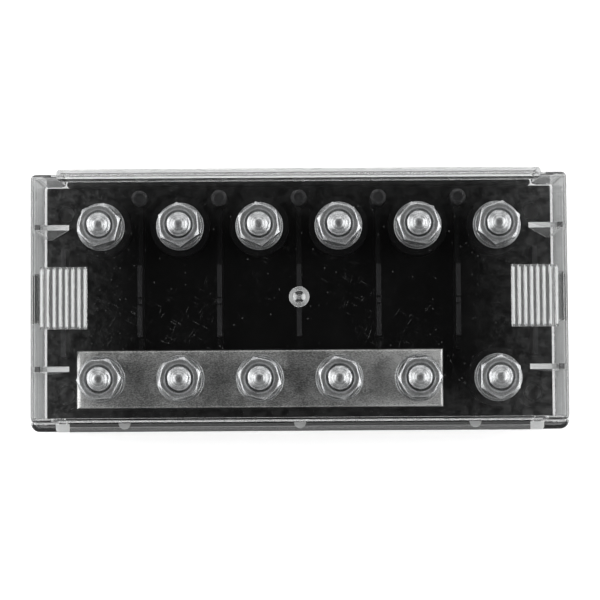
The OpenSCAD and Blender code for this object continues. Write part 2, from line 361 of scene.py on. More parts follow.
black_plastic, bench = new_finish("black_plastic")
where = bench.here()
place = bench.split(where)
along, across, up = abs(place["X"]), abs(place["Y"]), place["Z"]
near_end = along.ramp(*DUST_X).most(across.ramp(*DUST_Y))
rare = SPECK_RARE - near_end * SPECK_MORE
speck = bench.flecks(where, SPECK_SCALE, SPECK_EDGE, SPECK_CORE, rare)
dust_film = bench.noise(where, FILM_SCALE, 5.0, 0.62).ramp(0.5, 0.8) * (0.25 + near_end * 0.75)
dust = (speck * 0.22 + dust_film * 0.16).least(1.0)
hole_skin = along.near(FIX_X, FIX_R) * across.near(FIX_Y, FIX_R) * up.within(SKIN_LOW, SKIN_HIGH)
# greyer towards the tops of the walls, set by height alone
plain = bench.colour_mix(up.ramp(GREYER_LOW, GREYER_HIGH), JET, GREYER_BLACK)
dusty = bench.colour_mix(dust, plain, DUST_GREY)
grain = bench.noise(where, GRAIN_SCALE, 2.0)
moulded = bench.principled(
    {
        "Base Color": bench.colour_mix(hole_skin, dusty, SKIN_GREY),
        "Roughness": 0.34 + bench.noise(where, GLOSS_SCALE, 3.0) * 0.14 + dust * 0.2,
        "Specular IOR Level": 0.2,
        "Normal": bench.bump(grain, 0.12, GRAIN_HEIGHT),
    }
)
show(bench, moulded)
print(black_plastic.name)

# %% [markdown]
# ## The rows and their places
# Everything is bolted down in two rows of six. The places could be typed in again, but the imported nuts
# already stand on the stud axes, so the axes, the pitch and the heights are read from their boxes.

# %% Stud axes
BAYS = 6


def middle(node):
    low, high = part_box(node)
    return (low + high) / 2


rows = {row: [middle(f"{row}_nut_{i + 1}") for i in range(BAYS)] for row in ("feed", "load")}
BAY_PITCH = rows["feed"][1].x - rows["feed"][0].x
NUT_LOW, NUT_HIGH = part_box("feed_nut_1")[0].z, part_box("feed_nut_1")[1].z
STUD_LOW, STUD_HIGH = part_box("feed_studs")[0].z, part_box("feed_studs")[1].z
print("pitch:", round(BAY_PITCH, 5), "nuts from", round(NUT_LOW, 5), "to", round(NUT_HIGH, 5))

# %% [markdown]
# ## Tinned copper and zinc-plated steel
# The busbar is copper with a matt tin plating, which is grainy and a little streaked along the bar, and
# painted paler towards its ends as a painted highlight. The nuts, washers and studs are bright zinc on steel,
# smoother, with a soft mottle and rings from the lathe. The nuts' upper faces are paler, partly dulled by
# spanners and partly a painted highlight, and all below them is painted darker as painted shade. Both are
# metals, so their look comes mostly from what they mirror, and roughness does the work. One function makes
# both, because they differ only in strengths.

# %% Painted light and spanner marks on the metals
LEFT_HIGHLIGHT = 9.0 * MM
RIGHT_HIGHLIGHT = 40.0 * MM
FACE_WEAR_AND_HIGHLIGHT = 0.45
BELOW_SHADE = -0.4
FACE_BAND = 0.03 * MM
BELOW_FACE = NUT_HIGH - 0.05 * MM


def distance(x, y):
    """Length of a line that goes x one way and y square to it."""
    return (x * x + y * y).root()


def from_axis(bench, where):
    """Distance from the nearest stud axis, with both rows folded into one."""
    place = bench.split(where)
    off_x = ((place["X"] - rows["feed"][0].x) / BAY_PITCH).off_whole() * BAY_PITCH
    return distance(off_x, abs(place["Y"]) - rows["load"][0].y)


# painted highlight towards both ends of the busbar
def bar_end_highlight(bench, where):
    """1 towards the ends of the busbar, a painted highlight where the soft boxes would reflect."""
    x = bench.split(where)["X"]
    low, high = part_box("busbar")
    return x.ramp(low.x + LEFT_HIGHLIGHT, low.x).most(x.ramp(high.x - RIGHT_HIGHLIGHT, high.x))


# painted highlight, partly spanner marks, on the nuts' upper faces, and painted shade on all below them
def nut_face_light_and_marks(bench, where):
    """Above 0 on the nuts' upper faces, partly dulled by spanners and partly painted highlight, and below 0
    under them, painted shade.
    """
    z = bench.split(where)["Z"]
    return z.near(NUT_HIGH, FACE_BAND) * FACE_WEAR_AND_HIGHLIGHT + (z < BELOW_FACE) * BELOW_SHADE


print("metal wear ready")

# %% Metal finishes
CLOUD_SHARE, GRAIN_SHARE = 0.3, 0.7
SHADE_LOW, SHADE_HIGH, LIGHT_AND_WEAR_TONE = 0.38, 0.62, 0.5
CLOUD_ROUGH, GRAIN_ROUGH, LIGHT_AND_WEAR_ROUGH = 0.16, 0.14, 0.09
RING_SCALE = 1150.0
RING_END, RING_FULL = 6.6 * MM, 5.8 * MM
RING_BUMP = 2.0


def metal_finish(name, dark, light, rough, mottle, grain_scale, stretch, depth, turned, light_and_wear):
    """A plated metal with clouds and grain; turned says how strong the lathe's rings are."""
    material, bench = new_finish(name)
    where = bench.here()
    cloud = bench.noise(where, mottle, 4.0, 0.6)
    grain = bench.noise(bench.stretched(where, stretch), grain_scale, 3.0, 0.65)
    off_axis = from_axis(bench, where)
    ring_place = bench.add("ShaderNodeCombineXYZ", None, {0: off_axis})["Vector"]
    rings = (bench.noise(ring_place, RING_SCALE, 2.0, 0.6) - 0.5) * turned
    rings = rings * off_axis.ramp(RING_END, RING_FULL)
    # painted highlight and painted shade from the function given, with spanner marks on the nuts
    lit_and_worn = light_and_wear(bench, where)
    shade = (cloud * CLOUD_SHARE + grain * GRAIN_SHARE + rings).ramp(SHADE_LOW, SHADE_HIGH)
    drift = (cloud - 0.5) * CLOUD_ROUGH + (grain - 0.5) * GRAIN_ROUGH
    metal = bench.principled(
        {
            "Base Color": bench.colour_mix(shade + lit_and_worn * LIGHT_AND_WEAR_TONE, dark, light),
            "Metallic": 1.0,
            "Roughness": rough + drift + lit_and_worn * LIGHT_AND_WEAR_ROUGH,
            "Normal": bench.bump(grain + rings * RING_BUMP, depth, GRAIN_HEIGHT),
        }
    )
    show(bench, metal)
    print(material.name)
    return material


tinned_copper = metal_finish(
    "tinned_copper",
    dark=(0.34, 0.34, 0.335, 1.0),
    light=(0.85, 0.85, 0.84, 1.0),
    rough=0.43,
    mottle=240.0,
    grain_scale=3000.0,
    stretch=(0.5, 1.0, 1.0),
    depth=0.4,
    turned=0.0,
    light_and_wear=bar_end_highlight,
)
zinc_steel = metal_finish(
    "zinc_steel",
    dark=(0.4, 0.405, 0.41, 1.0),
    light=(0.78, 0.79, 0.8, 1.0),
    rough=0.39,
    mottle=300.0,
    grain_scale=2600.0,
    stretch=(1.0, 1.0, 1.0),
    depth=0.5,
    turned=1.2,
    light_and_wear=nut_face_light_and_marks,
)

# %% [markdown]
# ## Places on the clear cover
# The cover is one moulding of clear polycarbonate, but its surface differs from place to place. Masks could
# be painted on a picture and wrapped around it. Here each place is told from its height and its distance
# from the middle, which stays sharp and needs no picture.

# %% Places on the cover
PLATE_TOP = 42.0 * MM
ROOF = 40.7 * MM
BULGE_TOP = 29.0 * MM
SKIRT_TOP = 10.0 * MM
PLATE = Vector((86.0, 39.8)) * MM
FOOT = Vector((86.6, 40.4)) * MM
BULGE_X = 79.35 * MM
GRIP_IN, GRIP_OUT = 67.8 * MM, 83.0 * MM
GRIP_HALF = 10.0 * MM
LEG_Y = 22.7 * MM
LEG_HALF = 0.85 * MM
LATCH_HALF = 7.8 * MM
SLACK = 0.01 * MM
FACE_SLACK = 0.05 * MM
EDGE_SLACK = 0.6 * MM

clear_plastic, bench = new_finish("clear_plastic")
where = bench.here()
place = bench.split(where)
along, across, up = abs(place["X"]), abs(place["Y"]), place["Z"]
in_front = place["Y"] < 0.0
at_plate = up > ROOF - FACE_SLACK
on_top = up > PLATE_TOP - 2 * SLACK
on_wall = up.within(SKIRT_TOP + 0.4 * MM, ROOF - SLACK)
at_bulge_top = up.near(BULGE_TOP, EDGE_SLACK)
in_leg = across.near(LEG_Y, LEG_HALF + SLACK)
in_grip = along.within(GRIP_IN, GRIP_OUT) * (across < GRIP_HALF)
by_latch = across < LATCH_HALF
print("plate at", PLATE_TOP, "bulges at", BULGE_TOP)

# %% [markdown]
# ## Painted shade in the clear plastic
# Clear plastic looks dark where the eye looks along it and not across it: at the roots of the legs, over the
# latch tongues and the end walls, and along the edges of the plate, the bulges and the front rim. Bent rays
# give a part of that, but not all, because the room is pale on every side. So masks by place paint shade into
# the colour of the glass there, and the strongest mask counts. The front rim and ledge are painted dark as a
# contact shadow on the table seen through them, the plate under the grips is painted darker, and the left
# latch more than the right.

# %% Painted shade in the clear plastic
RIM_BAND = 0.3 * MM
LEDGE_LOW, LEDGE_HIGH = 9.0 * MM, 10.4 * MM
END_WALL_X = 84.7 * MM
LATCH_OUT = 85.2 * MM
ROOT_IN, ROOT_OUT = 82.8 * MM, 84.6 * MM
END_EDGE_X = 85.4 * MM
CORNER_Y = PLATE.y - 0.8 * MM
FRONT_CORNER_Y = PLATE.y - 1.6 * MM
BULGE_LIP_Y = 40.7 * MM
LATCH_LEFT, LATCH_RIGHT = 0.62, 0.28
CLEAREST = (0.985, 0.99, 0.99, 1.0)


def strongest(masks):
    """At each point, the largest of several masks, each times its own strength."""
    levels = [mask * strength for mask, strength in masks]
    result = levels[0]
    for level in levels[1:]:
        result = result.most(level)
    return result


at_corner = in_front * (along > BULGE_X)
at_plate_edge = up > PLATE_TOP - 1.2 * MM
front_rim = in_front * (up < RIM_BAND) * (across > FOOT.y)
front_ledge = in_front * up.within(LEDGE_LOW, LEDGE_HIGH) * (across > FOOT.y + 0.1 * MM)
over_wall = at_plate * (along > END_WALL_X)
over_latch = at_plate * by_latch * along.within(GRIP_OUT + 0.1 * MM, LATCH_OUT)
leg_root = at_plate * in_leg * along.within(ROOT_IN, ROOT_OUT)
end_edge = (along > END_EDGE_X) * (up > BULGE_TOP + 4.0 * MM)
corner_edge = at_plate_edge * (across > CORNER_Y) * (along > BULGE_X)
front_corner = at_plate_edge * at_corner * (across > FRONT_CORNER_Y)
corner_foot = at_corner * across.near(FOOT.y, 0.5 * MM) * up.near(SKIRT_TOP, 0.8 * MM)
bulge_edge = in_front * at_bulge_top * (across > BULGE_LIP_Y)
under_grip = in_grip * up.near(ROOF, FACE_SLACK)
# painted shade: the strongest mask darkens the colour of the glass
painted_shade = strongest(
    [
        (front_rim, 0.88),
        (front_ledge, 0.97),
        (over_wall, 0.35),
        (over_latch, LATCH_LEFT - (place["X"] > 0.0) * (LATCH_LEFT - LATCH_RIGHT)),
        (leg_root, 0.96),
        (end_edge, 0.87),
        (corner_edge, 0.98),
        (front_corner, 0.6),
        (corner_foot, 0.7),
        (bulge_edge, 0.85),
        (under_grip, 0.85),
    ]
)
shaded_tint = bench.colour_mix(painted_shade, CLEAREST, grey(0.0))
print("tint ready")

# %% [markdown]
# ## Frost of the clear plastic
# The mould left some places matt: the ribs of the grips, the gate mark, the legs, the end walls and corners,
# the front bulge and the half-round marks of the ejector pins. A second finish could be put on those faces,
# but most of them fade out, so masks by place mix a pale matt into the glass. The same pale matt also paints
# highlights: the ends of the front bulges are painted pale where the table shows through, and the gate mark
# is painted brighter at its left and right, with two bright patches in its dish, where the two soft boxes
# would show in it. The front corner walls get less of it, to keep their painted shade.

# %% Frost and painted highlights of the gate mark
GATE_R = 3.25 * MM
GATE_LOW = 41.3 * MM
DISH_R = 2.04 * MM
LOBE_IN, LOBE_OUT = 0.4 * MM, 1.3 * MM
MIDDLE_IN, MIDDLE_OUT = 0.3 * MM, 1.2 * MM
MOULD_GRAIN_SCALE = 1500.0

mould_grain = bench.noise(where, MOULD_GRAIN_SCALE, 3.0, 0.7)
from_gate = distance(along, across)
in_gate = (from_gate < GATE_R + 2 * SLACK) * (up > GATE_LOW)
in_dish = from_gate < DISH_R - 0.1 * MM
sideways = along / from_gate
# brighter at the left and right of the gate mark's edge: a painted highlight
gate_edge_frost_and_light = 0.16 + sideways * 0.2 + mould_grain * 0.12
# two painted highlights in the dish, where the soft boxes would show
dish_highlights = 0.04 + sideways.ramp(0.6, 0.95) * from_gate.ramp(LOBE_IN, LOBE_OUT) * 0.62
dish_middle = from_gate.ramp(MIDDLE_OUT, MIDDLE_IN) * 0.22
gate_frost_and_highlights = in_dish * (dish_highlights + dish_middle) + (1.0 - in_dish) * gate_edge_frost_and_light
print("gate mark:", 2 * GATE_R, "m wide")

# %% Frost of grips, legs, walls and ejector marks
RIB_FROST_LOW, RIB_FROST_HIGH = PLATE_TOP + 0.5 * MM, PLATE_TOP + 0.6 * MM
LEG_IN = 73.0 * MM
END_WALL_IN = 84.0 * MM
STREAK_STRETCH = (0.0, 0.03, 1.0)
STREAK_SCALE = 420.0
CORNER_WALL_X = BULGE_X - 1.4 * MM
CORNER_WALL_Y = PLATE.y - 1.7 * MM
BULGE_IN_Y = FOOT.y - 0.2 * MM
BULGE_END = BULGE_X - 4.5 * MM
MARK_R = 1.95 * MM
MARK_Y = 40.06 * MM
MARK_GAP = 57.0 * MM

on_rib = up.ramp(RIB_FROST_LOW, RIB_FROST_HIGH)
on_leg = in_leg * (along > LEG_IN) * (up < ROOF - SLACK)
leg_edge = across.near(LEG_Y, LEG_HALF - SLACK)
streaks = bench.noise(bench.stretched(where, STREAK_STRETCH), STREAK_SCALE, 2.0)
end_wall = on_wall * (along > END_WALL_IN)
corner_wall = on_wall * (across > CORNER_WALL_Y) * (along > CORNER_WALL_X)
on_bulge = in_front * at_bulge_top * (across > BULGE_IN_Y)
off_mark = (along / MARK_GAP).off_whole() * MARK_GAP
on_mark = at_bulge_top * (distance(off_mark, across - MARK_Y) < MARK_R + 2 * SLACK)
mould_frost_and_highlights = strongest(
    [
        (on_top * in_grip, 0.17 + on_rib * 0.55),
        (in_gate, gate_frost_and_highlights),
        (on_leg, 0.16 + leg_edge * 0.74),
        (end_wall, 0.38 + streaks * 0.42 - by_latch * 0.48),
        # less matt on the front corner walls, to keep their painted shade
        (corner_wall, (0.24 + mould_grain * 0.3) * (1.0 - in_front * 0.8)),
        # the ends of the front bulges are painted pale, where the table shows through
        (on_bulge, 0.05 + mould_grain * 0.1 + (along > BULGE_END) * 0.6),
        (on_mark, 0.12 + in_front * 0.3),
    ]
)
print("ejector marks:", MARK_GAP, "m apart")

# %% [markdown]
# ## Haze, dust and scratches
# Hands leave a haze on the plate, most of it near the ends, where the cover is gripped, and a used cover has
# specks of dust and fine straight scratches. They could be a scanned picture, but three turned and stretched
# noises give lines in three directions that never repeat.

# %% Haze, dust and scratches
HAZE_X = (48.0 * MM, 86.0 * MM)
HAZE_Y = (20.0 * MM, 40.0 * MM)
MOTTLE_SCALE = 420.0
LOOSE_SCALE, LOOSE_EDGE, LOOSE_CORE = 1100.0, 0.4, 0.1
LOOSE_RARE, LOOSE_MORE = 0.985, 0.1
LOOSE_X = (30.0 * MM, 86.0 * MM)
PATCH_SCALE = 26.0
SCRATCH_STRETCH = (150.0, 5200.0, 0.0)
SCRATCH_FADE = 0.07
# angle and threshold of each direction
SCRATCHES = [(0.5, 0.7), (-0.9, 0.71), (1.9, 0.72)]


def scratches(angle, few):
    """Fine straight marks along one direction."""
    laid = bench.stretched(bench.turned(where, angle), SCRATCH_STRETCH)
    return bench.noise(laid, 1.0, 1.0).ramp(few, few + SCRATCH_FADE)


mottle = bench.noise(where, MOTTLE_SCALE, 5.0, 0.72).ramp(0.35, 0.75)
greasy = along.ramp(*HAZE_X) * 0.03 + across.ramp(*HAZE_Y) * 0.014
rare = LOOSE_RARE - along.ramp(*LOOSE_X) * LOOSE_MORE
loose_dust = bench.flecks(where, LOOSE_SCALE, LOOSE_EDGE, LOOSE_CORE, rare)
patches = bench.noise(where, PATCH_SCALE, 2.0).ramp(0.42, 0.66)
lines = strongest([(scratches(angle, few), 1.0) for angle, few in SCRATCHES])
matt_and_highlights = strongest(
    [
        (mould_frost_and_highlights, 1.0),
        (on_top * greasy, 0.3 + mottle * 1.5),
        (on_top * loose_dust, 0.06),
        (on_top * patches * lines, 0.13),
    ]
)
print("scratch directions:", len(SCRATCHES))

# %% [markdown]
# ## Clear plastic finish
# Glass shading bends light at each wall, which gives the bright and dark lines along the steps. Lamps have
# to reach what lies under the cover, and the metal there has to mirror the room, so shadow rays, diffuse
# rays and rays that left a mirror meet a clear film in place of glass. The lowest edge stays glass for all
# rays, so that the rim throws a shadow on the table.

# %% Clear plastic finish
PLASTIC_INDEX = 1.58
FROST_AND_HIGHLIGHT_COLOUR = (0.76, 0.77, 0.77, 1.0)
FILM_COLOUR = grey(0.8)
SMUDGE_SCALE = 38.0
RIM_SHADE = 2.0 * MM
MIRROR_REACH = 3.0 * MM

smudge = bench.noise(where, SMUDGE_SCALE, 4.0, 0.6).ramp(0.45, 0.75)
glass = bench.principled(
    {
        "Base Color": shaded_tint,
        "Roughness": 0.008 + smudge * 0.02,
        "IOR": PLASTIC_INDEX,
        "Transmission Weight": 1.0,
    }
)
pale_matt = bench.principled({"Base Color": FROST_AND_HIGHLIGHT_COLOUR, "Roughness": 0.42 + smudge * 0.1})
clear = bench.shader_mix(matt_and_highlights, glass, pale_matt)
film = bench.add("ShaderNodeBsdfTransparent", None, {"Color": FILM_COLOUR})["BSDF"]
path = bench.add("ShaderNodeLightPath")
passed = path["Transmission Depth"]
in_air = passed.work("MODULO", passed, 2.0) < 0.5
mirrored = path["Is Reflection Ray"] * in_air * (path["Ray Length"] > MIRROR_REACH)
unseen = path["Is Shadow Ray"].most(path["Is Diffuse Ray"]).most(mirrored) * (up > RIM_SHADE)
show(bench, bench.shader_mix(unseen, clear, film))
print(clear_plastic.name)

# %% [markdown]
# ## Rings and skins
# Nuts, studs and washers are all built ring by ring about their own axis: each ring is a list of points
# given as a radius and a height for every angle, and a skin of quads joins one ring to the next. A ring may
# follow a hexagon, so flats, chamfer curves and round faces meet on exact edges, which a lathe alone can't
# do.

# %% Ring helpers
SIDES = 48
MERGE_GAP = 0.001 * MM


def hex_radius(flats, k):
    """Distance from the axis to a hexagon's side at angle number k, with a corner at 0."""
    angle = math.tau * k / SIDES
    return flats / 2 / math.cos((angle % (math.pi / 3)) - math.pi / 6)


def round_ring(radius, height):
    return [(radius, height)] * SIDES


def round_rings(section):
    return [round_ring(radius, height) for radius, height in section]


def skin(rings, closed):
    """Points and faces of a skin over rings; a closed skin joins the last ring to the first."""
    points, faces = [], []
    for ring in rings:
        for k, (radius, height) in enumerate(ring):
            angle = math.tau * k / SIDES
            points.append((radius * math.cos(angle), radius * math.sin(angle), height))
    count = len(rings)
    for i in range(count if closed else count - 1):
        low, high = i * SIDES, (i + 1) % count * SIDES
        for k in range(SIDES):
            n = (k + 1) % SIDES
            faces.append((low + k, low + n, high + n, high + k))
    return points, faces


def tidy_mesh(mesh, gap=MERGE_GAP):
    """Merge doubles, drop faces with no area and point the faces outwards."""
    work = bmesh.new()
    work.from_mesh(mesh)
    bmesh.ops.remove_doubles(work, verts=work.verts, dist=gap)
    bmesh.ops.dissolve_degenerate(work, edges=work.edges, dist=gap)
    bmesh.ops.recalc_face_normals(work, faces=work.faces)
    work.to_mesh(mesh)
    work.free()
    return mesh


def mesh_of(name, points, faces):
    mesh = bpy.data.meshes.new(name)
    mesh.from_pydata(points, [], faces)
    return tidy_mesh(mesh)


print("sides of a ring:", SIDES)

# %% [markdown]
# ## From a mesh to a finished piece
# A mesh becomes a piece when an object holds it. Modifiers are worked out into a plain mesh before a piece is
# handed over, because the export takes meshes only. Two calls then say which body carries the piece and
# which imported nodes it stands in for.

# %% Piece helpers


def piece_of(name, mesh):
    piece = bpy.data.objects.new(name, mesh)
    bpy.context.scene.collection.objects.link(piece)
    return piece


def soft_shade(mesh, degrees):
    mesh.shade_smooth()
    mesh.set_sharp_from_angle(angle=math.radians(degrees))


def settle(piece):
    """Turn a piece with modifiers into a plain mesh with none."""
    bpy.context.view_layer.update()
    graph = bpy.context.evaluated_depsgraph_get()
    mesh = bpy.data.meshes.new_from_object(piece.evaluated_get(graph))
    piece.modifiers.clear()
    old, piece.data = piece.data, mesh
    bpy.data.meshes.remove(old)
    mesh.name = piece.name
    return piece


def hand_over(piece, body, slot, *nodes):
    """Attach a finished piece to its body and hide the imported nodes it stands in for."""
    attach(piece, body)
    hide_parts(*nodes)
    print(piece.name, "faces:", len(piece.data.polygons))


print("piece helpers ready")

# %% [markdown]
# ## A thread by Geometry Nodes
# A stud's thread is one groove that climbs round the shank. It could be swept along a helix and cut out, but
# such cuts often fail. This tree pulls points inwards instead: where a point lies above the thread's start,
# its radius may be no more than the thread's own radius at that height and angle.

# %% Thread tree
THREAD_INPUTS = [
    ("Thread Pitch", "NodeSocketFloat"),
    ("Thread Depth", "NodeSocketFloat"),
    ("Crest Radius", "NodeSocketFloat"),
    ("Thread Start", "NodeSocketFloat"),
]
CREST_SHARE = 0.14
ROOT_SHARE = 0.22
LEAST_RADIUS = 0.001 * MM


def group_of(name, inputs):
    """A Geometry Nodes tree with a geometry input, named inputs and a geometry output."""
    tree = bpy.data.node_groups.new(name, "GeometryNodeTree")
    tree.is_modifier = True
    tree.interface.new_socket("Geometry", in_out="INPUT", socket_type="NodeSocketGeometry")
    for title, kind in inputs:
        tree.interface.new_socket(title, in_out="INPUT", socket_type=kind)
    tree.interface.new_socket("Geometry", in_out="OUTPUT", socket_type="NodeSocketGeometry")
    bench = Bench(tree)
    return tree, bench, bench.add("NodeGroupInput")


thread_tree, bench, given = group_of("cut_thread", THREAD_INPUTS)
spot = bench.split(bench.add("GeometryNodeInputPosition")["Position"])
radius = distance(spot["X"], spot["Y"])
turns = spot["Y"].work("ARCTAN2", spot["Y"], spot["X"]) / math.tau
climb = spot["Z"] / given["Thread Pitch"] - turns
ridge = 1 - abs(climb.work("FRACT", climb) * 2 - 1)
flank = bench.add(
    "ShaderNodeMapRange", None, {"Value": ridge, "From Min": ROOT_SHARE, "From Max": 1 - CREST_SHARE}
)["Result"]
allowed = given["Crest Radius"] - given["Thread Depth"] * (1 - flank)
shrink = (allowed / radius.most(LEAST_RADIUS)).least(1.0)
pulled_in = bench.add(
    "ShaderNodeCombineXYZ", None, {0: spot["X"] * shrink, 1: spot["Y"] * shrink, 2: spot["Z"]}
)["Vector"]
threaded = bench.add(
    "GeometryNodeSetPosition",
    None,
    {"Geometry": given["Geometry"], "Selection": spot["Z"] > given["Thread Start"], "Position": pulled_in},
)
bench.add("NodeGroupOutput", None, {0: threaded["Geometry"]})
print(thread_tree.name, [title for title, kind in THREAD_INPUTS])

# %% [markdown]
# ## A row by Geometry Nodes
# Studs, washers, ribs and scored arches all stand in straight rows. An Array modifier could copy them, but a
# tree can also turn each copy by a random angle from a fixed seed. It ends in Realize Instances and Set
# Material, because an exported part can't hold instances.

# %% Row tree
ROW_INPUTS = [
    ("Count", "NodeSocketInt"),
    ("Spacing", "NodeSocketFloat"),
    ("First", "NodeSocketVector"),
    ("Turn", "NodeSocketFloat"),
    ("Seed", "NodeSocketInt"),
    ("Finish", "NodeSocketMaterial"),
]

row_tree, bench, given = group_of("fastener_row", ROW_INPUTS)
step = bench.add("ShaderNodeCombineXYZ", None, {0: given["Spacing"]})["Vector"]
line = bench.add(
    "GeometryNodeMeshLine",
    {"mode": "OFFSET"},
    {"Count": given["Count"], "Start Location": given["First"], "Offset": step},
)["Mesh"]
turn = bench.add(
    "FunctionNodeRandomValue", {"data_type": "FLOAT"}, {2: 0.0, 3: given["Turn"], "Seed": given["Seed"]}
)[1]
spin = bench.add("ShaderNodeCombineXYZ", None, {2: turn})["Vector"]
stood = bench.add(
    "GeometryNodeInstanceOnPoints",
    None,
    {"Points": line, "Instance": given["Geometry"], "Rotation": spin},
)["Instances"]
real = bench.add("GeometryNodeRealizeInstances", None, {"Geometry": stood})["Geometry"]
dressed = bench.add(
    "GeometryNodeSetMaterial", None, {"Geometry": real, "Material": given["Finish"]}
)["Geometry"]
bench.add("NodeGroupOutput", None, {0: dressed})
print(row_tree.name, [title for title, kind in ROW_INPUTS])

# %% Row helpers


def with_tree(piece, tree, values):
    """Add a Geometry Nodes modifier and set its inputs by their identifiers."""
    modifier = piece.modifiers.new(tree.name, "NODES")
    modifier.node_group = tree
    for item in tree.interface.items_tree:
        if item.item_type == "SOCKET" and item.in_out == "INPUT" and item.name in values:
            modifier[item.identifier] = values[item.name]


def repeated(name, mesh, count, spacing, first, finish, turn=0.0, seed=1, thread=None):
    """One piece with a mesh set down count times along X, threaded first if asked."""
    piece = piece_of(name, mesh.copy())
    if thread:
        with_tree(piece, thread_tree, thread)
    values = {
        "Count": count,
        "Spacing": spacing,
        "First": first,
        "Turn": turn,
        "Seed": seed,
        "Finish": finish,
    }
    with_tree(piece, row_tree, values)
    return settle(piece)


def stud_row(name, row, mesh, **options):
    first = rows[row][0]
    return repeated(name, mesh, BAYS, BAY_PITCH, (first.x, first.y, 0.0), zinc_steel, **options)


print("pieces in a stud row:", BAYS)

# %% [markdown]
# ## Studs
# Each stud is an M8 bolt whose hex head sits in a pocket under the base. Its top is chamfered and slightly
# domed, which is what mirrors the two soft boxes as bright lobes. A screw from a library would have a flat
# end, so the blank is one skin of rings with many fine rows along the shank, and the thread tree cuts it.

# %% Hexagons
TAN_30 = math.tan(math.radians(30))


def hex_rings(flats, low, high, low_face, high_face, edge):
    """Rings up a hexagon. The edge of a face slopes by 30 degrees, and more of it is cut at the
    corners outside the face radius; a face radius of None leaves that end sharp."""
    sides = [hex_radius(flats, k) for k in range(SIDES)]

    def end_rings(face, end, way):
        if face is None:
            return [[(r, end) for r in sides]]
        tops = [min(r * (1 - 2 * edge / flats), face) for r in sides]
        slope = [(r, end - way * (r - top) * TAN_30) for r, top in zip(sides, tops)]
        return [slope, [(top, end) for top in tops]]

    return end_rings(low_face, low, -1)[::-1] + end_rings(high_face, high, 1)


print("hexagons are chamfered at 30 degrees")

# %% Studs
STUD_R = 4.0 * MM
HEAD_FLATS = 13.0 * MM
HEAD_FACE_R = 6.7 * MM
HEAD_EDGE = 0.3 * MM
HEAD_HEIGHT = 4.0 * MM
HEAD_TOP = STUD_LOW + HEAD_HEIGHT
THREAD_PITCH = 1.25 * MM
THREAD_DEPTH = 0.68 * MM
THREAD_FROM = NUT_LOW - 3.0 * MM
THREAD_ROWS = 88
DOME_R = 4.6 * MM
DOME_EDGE = 3.0 * MM
DOME_STEPS = 20
# outwards from the dome's edge and down from it
NECK = [(0.25 * MM, 0.44 * MM), (0.05 * MM, 0.4 * MM)]
STUD_CREASE = 40

rings = [round_ring(0.0, STUD_LOW)]
rings += hex_rings(HEAD_FLATS, STUD_LOW, HEAD_TOP, HEAD_FACE_R, None, HEAD_EDGE)
rings.append(round_ring(STUD_R, HEAD_TOP))
dome_low = STUD_HIGH - DOME_R + math.sqrt(DOME_R**2 - DOME_EDGE**2)
neck = [(DOME_EDGE + out, dome_low - down) for out, down in NECK]
shank_top = neck[0][1] - (STUD_R - neck[0][0]) * TAN_30
for i in range(THREAD_ROWS + 1):
    rings.append(round_ring(STUD_R, THREAD_FROM + (shank_top - THREAD_FROM) * i / THREAD_ROWS))
rings += round_rings(neck)
for i in range(DOME_STEPS + 1):
    lean = math.asin(DOME_EDGE / DOME_R) * (1 - i / DOME_STEPS)
    rings.append(round_ring(DOME_R * math.sin(lean), STUD_HIGH - DOME_R * (1 - math.cos(lean))))
stud_blank = mesh_of("stud_blank", *skin(rings, False))
thread = {
    "Thread Pitch": THREAD_PITCH,
    "Thread Depth": THREAD_DEPTH,
    "Crest Radius": STUD_R,
    "Thread Start": THREAD_FROM,
}
for row in rows:
    studs = stud_row(f"{row}_stud_row", row, stud_blank, thread=thread)
    soft_shade(studs.data, STUD_CREASE)
    hand_over(studs, "holder", "zinc_steel", f"{row}_studs")

# %% [markdown]
# ## Plain washers
# A plain washer is stamped from sheet, so its edges are a little rounded. A bevel could round them, but the
# ring's section is easily drawn with its corners cut, and a closed skin of rings then makes the washer.

# %% Washers
WASHER_HOLE_R = 4.2 * MM
WASHER_EDGE = 0.22 * MM
CORNER_CUT = 0.3
WASHER_CREASE = 50


def rounded_section(inner, outer, low, high, edge):
    """Corners of a ring's section, each cut by two short steps so that it catches light."""
    corners = [(inner, low, 1, 1), (outer, low, -1, 1), (outer, high, -1, -1), (inner, high, 1, -1)]
    points = []
    for index, (r, z, in_r, in_z) in enumerate(corners):
        along_r, along_z = (r + in_r * edge, z), (r, z + in_z * edge)
        cut = (r + in_r * edge * CORNER_CUT, z + in_z * edge * CORNER_CUT)
        trio = [along_r, cut, along_z]
        points += trio[::-1] if index % 2 == 0 else trio
    return points


washer_low, washer_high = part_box("feed_washers")
washer_r = (washer_high.y - washer_low.y) / 2
section = rounded_section(WASHER_HOLE_R, washer_r, washer_low.z, washer_high.z, WASHER_EDGE)
washer = mesh_of("washer", *skin(round_rings(section), True))
for row in rows:
    washers = stud_row(f"{row}_washer_row", row, washer, turn=math.tau, seed=3)
    soft_shade(washers.data, WASHER_CREASE)
    hand_over(washers, "holder", "zinc_steel", f"{row}_washers")

# %% [markdown]
# ## Spring washers
# A spring washer is a bent bar with a slanting slit, pressed almost flat by its nut. A ring with a slit cut
# out of it would do, but the section can as well be swept from one slanting end face to the other, which
# needs no cut.

# %% Spring washers
SPRING_HOLE_R = 4.1 * MM
SPRING_R = 7.4 * MM
SPRING_EDGE = 0.25 * MM
SPRING_STEPS = 64
SLIT = 1.0 * MM
SLANT = TAN_30


